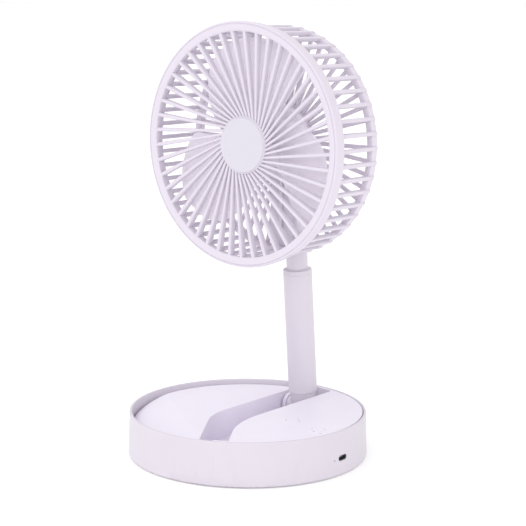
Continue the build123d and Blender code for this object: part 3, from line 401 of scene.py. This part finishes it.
def make_centre_cap():
    """Flat cap with a rounded rim, just proud of its seat."""
    bm = bmesh.new()
    cap = [(8.25, 0), (8.25, 21.9), (9.4, 21.9), (9.68, 21.7), (9.7, 21.3), (9.6, 20.9), (9.6, 0)]
    spin_outline(bm, in_metres(cap), HEAD, FRONT, UP, closed=False)
    add_piece(bm, "centre_cap_disc", "head", "cap", ["centre_cap"])


def make_cage():
    """Seat ring, rear ring, hub and spine, with slats that turn over the back as ribs."""
    bm = bmesh.new()
    rings = (
        [(4.5, 90.6), (4.5, 93.9), (9.2, 93.9), (9.2, 90.6)],
        [(-44.8, 87.5), (-44.8, 92.9), (-38.3, 92.9), (-38.3, 87.5)],
        [(-45.3, 28.0), (-45.3, 30.5), (-40.3, 30.5), (-40.3, 5.0), (-42.8, 5.0), (-42.8, 28.0)],
    )
    for ring in rings:
        spin_outline(bm, in_metres(ring), HEAD, FRONT, UP)
    bevel_sharp(bm, 0.5 * MM)
    spine_low = HEAD + MM * (-SPINE_HALF * RIGHT - SPINE_REACH[0] * UP - SPINE_DEPTH[0] * FRONT)
    spine_high = HEAD + MM * (SPINE_HALF * RIGHT - SPINE_REACH[1] * UP - SPINE_DEPTH[1] * FRONT)
    box_mesh(bm, spine_low, spine_high)
    before = set(bm.verts)
    outline = [
        (93.9, 6.5),
        (93.9, -43.6),
        (93.4, -44.8),
        (92.2, -45.3),
        (29.5, -45.3),
        (29.5, -42.8),
        (89.4, -42.8),
        (90.6, -41.6),
        (90.6, 6.5),
    ]
    verts = [bm.verts.new(HEAD + MM * (RIGHT * r + FRONT * f - UP * SLAT_WIDTH / 2)) for r, f in outline]
    face = bm.faces.new(verts)
    made = bmesh.ops.extrude_face_region(bm, geom=[face])
    top = [g for g in made["geom"] if isinstance(g, bmesh.types.BMVert)]
    bmesh.ops.translate(bm, vec=UP * SLAT_WIDTH * MM, verts=top)
    bevel_sharp(bm, 0.55 * MM, 60, edges_of(added_since(bm, before)))
    repeat_round(bm, added_since(bm, before), SLATS)
    add_piece(bm, "rear_cage", "head", "grille", ["rear_grille"])


BLADES = 3
BLADE_ROOT_R = 20.0
BLADE_LENGTH = 64.4
BLADE_THICK = 1.5
BLADE_START = 57.7
BLADE_SPREAD = 102


def blade_edges(radius):
    """Angles of a blade's rear and front edges at a radius in millimetres, in degrees."""
    share = (radius - 18) / (85 - 18)
    tip = max(0.0, (radius - 58) / 26.5)
    rear = BLADE_START + 6 * (1 - share) ** 2 + 4 * tip**8
    front = BLADE_START + BLADE_SPREAD - 0.786 * (radius - 30) - 8 * tip**2 - 14 * tip**8
    return rear, front


def make_impeller():
    """Three broad pitched blades on a round hub."""
    bm = bmesh.new()
    hub = [
        (-22, 19.2),
        (-22, 20.6),
        (-21.5, 21),
        (0.2, 21),
        (1.4, 20.5),
        (2.0, 19.2),
        (2.0, 1.6),
        (-9, 1.6),
        (-9, 5),
        (-0.4, 5),
        (-0.4, 19.2),
    ]
    spin_outline(bm, in_metres(hub), HEAD, FRONT, UP, SMALL_STEPS)
    before = set(bm.verts)
    bmesh.ops.create_grid(bm, x_segments=24, y_segments=20, size=0.5)
    sheet = added_since(bm, before)
    for v in sheet:
        along, out = v.co.x + 0.5, v.co.y + 0.5
        radius = BLADE_ROOT_R + BLADE_LENGTH * out
        rear, front = blade_edges(radius)
        angle = math.radians(rear + (front - rear) * along)
        depth = -20.5 + 21.5 * along + 3.2 * math.sin(math.pi * along) - 2.5 * out * (1 - along)
        spoke = RIGHT * math.cos(angle) + UP * math.sin(angle)
        v.co = HEAD + MM * (radius * spoke + depth * FRONT)
    bmesh.ops.solidify(bm, geom=faces_of(sheet), thickness=BLADE_THICK * MM)
    bevel_sharp(bm, 0.5 * MM, 60, edges_of(added_since(bm, before)))
    repeat_round(bm, added_since(bm, before), BLADES)
    add_piece(bm, "impeller_blades", "rotor", "blade", ["impeller"])


# ----------------------------------------------------------------------- pole
def make_tube(name, body, replaced, outline):
    """A round piece about the pole's line; the outline is (distance from the hinge, radius)."""
    bm = bmesh.new()
    spin_outline(bm, in_metres(outline), HINGE, POLE_DIR, RIGHT, TUBE_STEPS)
    add_piece(bm, name, body, "housing", replaced)


def make_pole():
    """Three telescoping tubes with rounded lips."""
    outer = [
        (13.9, 11.1),
        (13.9, 11.8),
        (14.3, 12.2),
        (118.2, 12.2),
        (118.4, 11.95),
        (118.8, 11.95),
        (119.0, 12.2),
        (121.2, 12.2),
        (121.8, 11.95),
        (122.0, 11.5),
        (122.0, 10.5),
        (120.6, 10.5),
        (120.6, 11.1),
    ]
    make_tube("outer_pole_tube", "pole", ["outer_tube", "outer_bush"], outer)
    middle = [
        (37.0, 9.65),
        (37.0, 10.45),
        (121.8, 10.45),
        (122.1, 10.3),
        (122.2, 10.0),
        (122.2, 9.1),
        (121.2, 9.1),
        (121.2, 9.65),
    ]
    make_tube("middle_pole_tube", "middle_section", ["middle_tube", "middle_bush"], middle)
    inner = [(49, 8.1), (49, 9.05), (145, 9.05), (145, 8.1)]
    make_tube("inner_pole_tube", "inner_section", ["inner_tube"], inner)


# ----------------------------------------------------------------------- base
def merged_copy(node):
    """A CAD node's own shape with its doubles merged and its flat stretches joined."""
    bm = bmesh.new()
    bm.from_mesh(nodes[node].data)
    bmesh.ops.remove_doubles(bm, verts=bm.verts, dist=1e-6)
    bmesh.ops.dissolve_limit(bm, angle_limit=math.radians(0.3), verts=bm.verts, edges=bm.edges)
    return bm


def carry_smooth(name, node, body, slot, bevel):
    """A CAD node's own shape as a piece, its sharp edges rounded by the bevel in millimetres, if any."""
    piece = add_piece(merged_copy(node), name, body, slot, [node], flip=False)
    if bevel:
        rounding = piece.modifiers.new("rounding", "BEVEL")
        rounding.width = bevel * MM
        rounding.segments = 2
        rounding.limit_method = "ANGLE"
        rounding.angle_limit = math.radians(35)
        rounding.harden_normals = True


def make_tray():
    """The top plate, with soft edges along the trough and a left front that slopes gently down."""
    bm = merged_copy("top_plate")
    soft = []
    for edge in bm.edges:
        middle = (edge.verts[0].co + edge.verts[1].co) / 2
        level = any(all(abs(v.co.z - top) < 1e-5 for v in edge.verts) for top in TRAY_TOPS)
        clear_of_buttons = middle.x < BUTTON_SIDE or middle.y < BUTTON_FRONT
        inside = middle.xy.length < TROUGH_END_R
        if level and inside and clear_of_buttons and edge.calc_face_angle(0) > 1.0:
            soft.append(edge)
    round_edges(bm, soft, TROUGH_EDGE, segments=4)
    for step in range(SLOPE_CUTS):
        bmesh.ops.bisect_plane(
            bm,
            geom=bm.verts[:] + bm.edges[:] + bm.faces[:],
            plane_co=SLOPE_DIR * (SLOPE_START + SLOPE_CUT_GAP * step),
            plane_no=SLOPE_DIR,
        )
    low = TRAY_TOPS[0] - SHOULDER
    for v in bm.verts:
        beyond = v.co.dot(SLOPE_DIR) - SLOPE_START
        if beyond > 0 and v.co.z > low:
            drop = SLOPE * (math.hypot(beyond, SLOPE_EASE) - SLOPE_EASE)
            v.co.z -= drop * min(1.0, (v.co.z - low) / SHOULDER)
    add_piece(bm, "base_tray", "base", "tray", ["top_plate"], flip=False)


def add_slot_loop(bm, width, height, depth):
    """A closed loop with round ends, across Y and Z, at a distance from the middle along X."""
    loop = bmesh.ops.create_circle(bm, segments=32, radius=height / 2)["verts"]
    for v in loop:
        along = v.co.x + math.copysign((width - height) / 2, v.co.x)
        v.co = Vector((depth, along, v.co.y))
    return edges_of(loop)


def make_port():
    """Black surround that fills the shell's slot round the charging socket, and the socket's tongue."""
    low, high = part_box("usb_socket")
    centre = Vector((0, (low[1] + high[1]) / 2, (low[2] + high[2]) / 2))
    back = low[0] + PORT_DEPTH
    bm = bmesh.new()
    loops = [
        add_slot_loop(bm, *size, depth)
        for size, depth in (
            (PORT_OUTER, back),
            (PORT_OUTER, PORT_FACE),
            (PORT_MOUTH, PORT_FACE),
            (PORT_INNER, PORT_FACE - PORT_CHAMFER),
            (PORT_INNER, back),
        )
    ]
    for near, far in zip(loops, loops[1:] + loops[:1]):
        bmesh.ops.bridge_loops(bm, edges=near + far)
    bmesh.ops.translate(bm, vec=centre, verts=bm.verts)
    add_piece(bm, "port_surround", "base", "black_plastic")
    bm = bmesh.new()
    size = Vector(TONGUE_SIZE)
    middle = centre + RIGHT * (PORT_FACE - TONGUE_INSET - size.x / 2)
    box_mesh(bm, middle - size / 2, middle + size / 2)
    bevel_sharp(bm, 0.2 * MM)
    add_piece(bm, "port_tongue", "base", "steel")


def make_base():
    """The drum, tray and hinge pieces."""
    carry_smooth("base_drum", "base_shell", "base", "housing", bevel=0)
    make_tray()
    make_port()
    carry_smooth("pole_knuckle", "pole_foot", "pole", "housing", bevel=0.6)
    carry_smooth("tilt_knuckle", "tilt_yoke", "inner_section", "housing", bevel=0.4)
    carry_smooth("tilt_bracket", "head_bracket", "head", "housing", bevel=0.4)
    carry_smooth("motor_back_cover", "motor_cover", "head", "grille", bevel=0.3)
    # The motor seat takes the lighter blade finish: painted light that lifts the shade behind the ribs.
    carry_smooth("motor_seat", "motor_mount", "head", "blade", bevel=0.3)


def finish_cad_nodes():
    """Give every CAD node that still shows its slot's finish."""
    for row in frame["record"]["subparts"]:
        node = nodes[row["node"]]
        node.data.materials.clear()
        node.data.materials.append(finishes[row["material_slot"]])


make_camera()
make_studio()
finishes = make_finishes()
finish_cad_nodes()
make_front_grille()
make_centre_cap()
make_cage()
make_impeller()
make_pole()
make_base()
